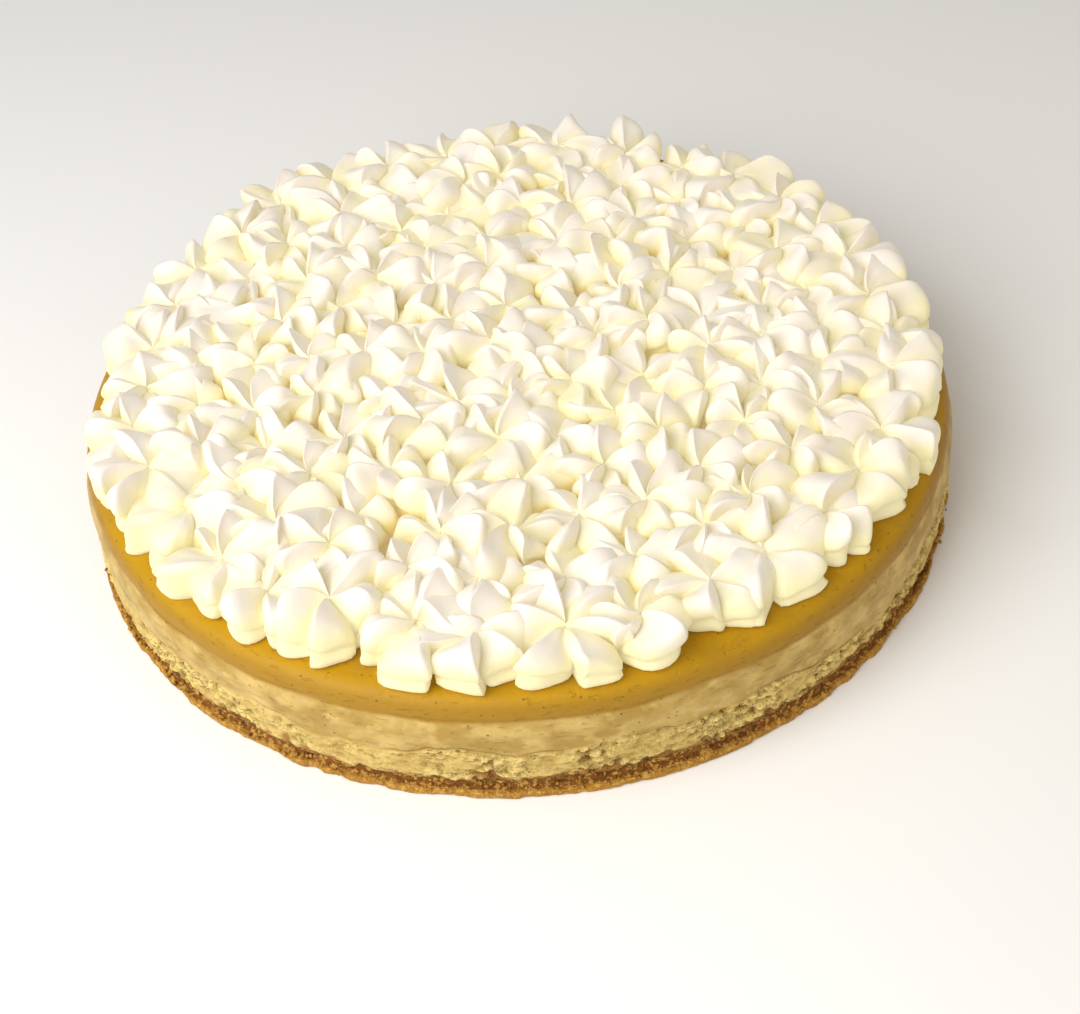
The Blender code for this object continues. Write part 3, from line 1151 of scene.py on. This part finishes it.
@dataclass
class LooseCrumbs:
    """Crumbs that broke off: some lie on the crust's foot, some cling to its band.

    Attributes:
        crust: the crust that they lie on.
        shade, count: how far they have browned and how many there are.
        seed: which set of random numbers places and shapes them.
        typical_radius: a middling crumb's radius.
        on_foot_share: the share of crumbs that lie on the foot.
        ring_angles: how far off its top each ring of a crumb's points lies, in degrees.
        sides: how many points such a ring has.
    """

    crust: CrumbCrust
    shade: CrumbShade
    count: int
    seed: int
    typical_radius: float = 0.00034
    on_foot_share: float = 0.55
    ring_angles: Triple = (38.0, 90.0, 142.0)
    sides: int = 5

    def crumb(self, rng: Random) -> Array:
        """Shapes one crumb about the origin: a lumpy ball, squeezed and turned at random.

        Args:
            rng: the source of its size, its lumps and its turn.

        Returns:
            Its skin as a grid of one row for each ring.
        """
        radius = self.typical_radius * math.exp(rng.uniform(-0.5, 0.8))
        polar = np.radians(self.ring_angles)[:, None]
        angle = 2 * np.pi * np.arange(self.sides) / self.sides
        upright = np.cos(polar) + 0 * angle
        ball = np.stack([np.sin(polar) * np.cos(angle), np.sin(polar) * np.sin(angle), upright], axis=-1)
        lumps = rng.uniform(0.7, 1.25, (*upright.shape, 1))
        lumpy = radius * ball * lumps * rng.uniform(0.7, 1.2, 3)
        spin = np.array(Euler(rng.uniform(0.0, 2.0 * np.pi, 3)).to_matrix())
        return lumpy @ spin.T

    def place(self, rng: Random) -> Array:
        """Picks a spot on the foot's ledge or on the band above it.

        Args:
            rng: the source of the spot.

        Returns:
            The spot.
        """
        crust = self.crust
        wall = crust.radius - crust.foot_proud
        angle = rng.uniform(0.0, 2.0 * np.pi)
        if rng.uniform() < self.on_foot_share:
            out = wall + rng.uniform(0.0, 0.75) * crust.foot_proud
            height = crust.foot_height + 0.0002
        else:
            out = wall - rng.uniform(0.0002, 0.0007)
            height = rng.uniform(crust.foot_height, crust.height)
        return np.array([out * np.cos(angle), out * np.sin(angle), height])

    def build(self) -> Piece:
        """Joins all crumbs of this shade.

        Returns:
            Their piece.
        """
        rng = np.random.default_rng(self.seed)
        shape = (len(self.ring_angles), self.sides)
        foot = np.full(shape, 1.0 if self.shade is CrumbShade.PALE else 0.0)
        builder = SkinBuilder()
        for _ in range(self.count):
            builder.add(self.crumb(rng) + self.place(rng), foot=foot, hollow=np.zeros(shape))
        return builder.build(self.shade.value, self.crust.finish.material())


@dataclass(frozen=True)
class SoftLight:
    """A square light that is turned to the cake, with its width as size and its power in watts."""

    name: str
    place: Triple
    size: float
    power: float
    colour: Colour

    def hang(self) -> None:
        """Adds the light to the scene."""
        data = bpy.data.lights.new(self.name, "AREA")
        data.size, data.energy, data.color = self.size, self.power, self.colour
        lamp = linked(self.name, data)
        lamp.location = self.place
        towards_cake = Vector((0, 0, 0.03)) - Vector(self.place)
        lamp.rotation_euler = towards_cake.to_track_quat("-Z", "Y").to_euler()


@dataclass
class Studio:
    """The floor, the camera and the soft lights.

    Attributes:
        eye, target: where the camera stands and what it looks at.
        roll, lens: its turn about its own axis in degrees, and its focal length in millimetres.
        key, fill: the white light from the left and the warm one from the right.
        sky, sky_strength: the light from all round.
    """

    eye: Triple = (0.0, -0.4065, 0.3647)
    target: Triple = (0.0043, -0.0199, 0.0)
    roll: float = -4.63
    lens: float = 60.0
    key: SoftLight = SoftLight("key", (-0.42, -0.40, 0.55), 0.7, 6.8, (1.0, 0.985, 0.965))
    fill: SoftLight = SoftLight("fill", (0.8, -0.5, 0.4), 0.9, 1.5, (1.0, 0.78, 0.42))
    sky: Colour = (1.0, 0.97, 0.92)
    sky_strength: float = 0.39

    def camera(self) -> None:
        """Stands the camera at the photo's angle and makes it the scene's own."""
        data = bpy.data.cameras.new("camera")
        data.lens = self.lens
        data.sensor_width = 36.0
        data.clip_start = 0.01
        camera = linked("camera", data)
        away = (Vector(self.target) - Vector(self.eye)).normalized()
        right = away.cross(Vector((0, 0, 1))).normalized()
        up = right.cross(away)
        turn = math.radians(self.roll)
        level = math.cos(turn) * right + math.sin(turn) * up
        tall = -math.sin(turn) * right + math.cos(turn) * up
        place = Matrix((level, tall, -away)).transposed().to_4x4()
        place.translation = Vector(self.eye)
        camera.matrix_world = place
        bpy.context.scene.camera = camera

    def floor(self) -> None:
        """Lays the floor just under the cake."""
        place = (0.0, 0.0, -0.0002)
        bpy.ops.mesh.primitive_grid_add(x_subdivisions=8, y_subdivisions=8, size=8.0, location=place)
        floor = bpy.context.active_object
        floor.name = "pale_floor"
        floor.data.materials.append(FloorFinish().material())

    def build(self) -> None:
        """Sets up everything round the cake."""
        self.camera()
        self.floor()
        self.key.hang()
        self.fill.hang()
        world = bpy.data.worlds.new("soft_sky")
        world.use_nodes = True
        sky = world.node_tree.nodes["Background"]
        sky.inputs["Color"].default_value = (*self.sky, 1.0)
        sky.inputs["Strength"].default_value = self.sky_strength
        bpy.context.scene.world = world
        bpy.context.scene.view_settings.view_transform = "Standard"


def hand_over(piece: Piece, layer: Layer) -> None:
    """Hangs a piece on the root, hides the solid that it stands for and logs which solid that is.

    Args:
        piece: the finished piece.
        layer: the layer that it belongs to.
    """
    node, slot = layer.value
    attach(piece, "root")
    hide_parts(node)
    log.info("%s stands for %s with %d faces", piece.name, node, len(piece.data.polygons))


def main() -> None:
    """Builds the cake from the crust up, then the studio."""
    logging.basicConfig(level=logging.INFO, format="%(name)s: %(message)s")

    crust = CrumbCrust(height=Layer.CRUST.box[1].z, radius=0.127)
    hand_over(crust.build(), Layer.CRUST)
    for shade, count, seed in ((CrumbShade.PALE, 520, 301), (CrumbShade.DARK, 160, 302)):
        hand_over(LooseCrumbs(crust, shade, count, seed).build(), Layer.CRUST)

    filling_low, filling_high = Layer.FILLING.box
    filling = BakedFilling(top=filling_high.z, bottom=filling_low.z, side=0.1256)
    hand_over(filling.build(), Layer.FILLING)

    for piece in PipedCream(level=Layer.CREAM.box[0].z).build():
        hand_over(piece, Layer.CREAM)

    Studio().build()


if __name__ == "__main__":
    main()
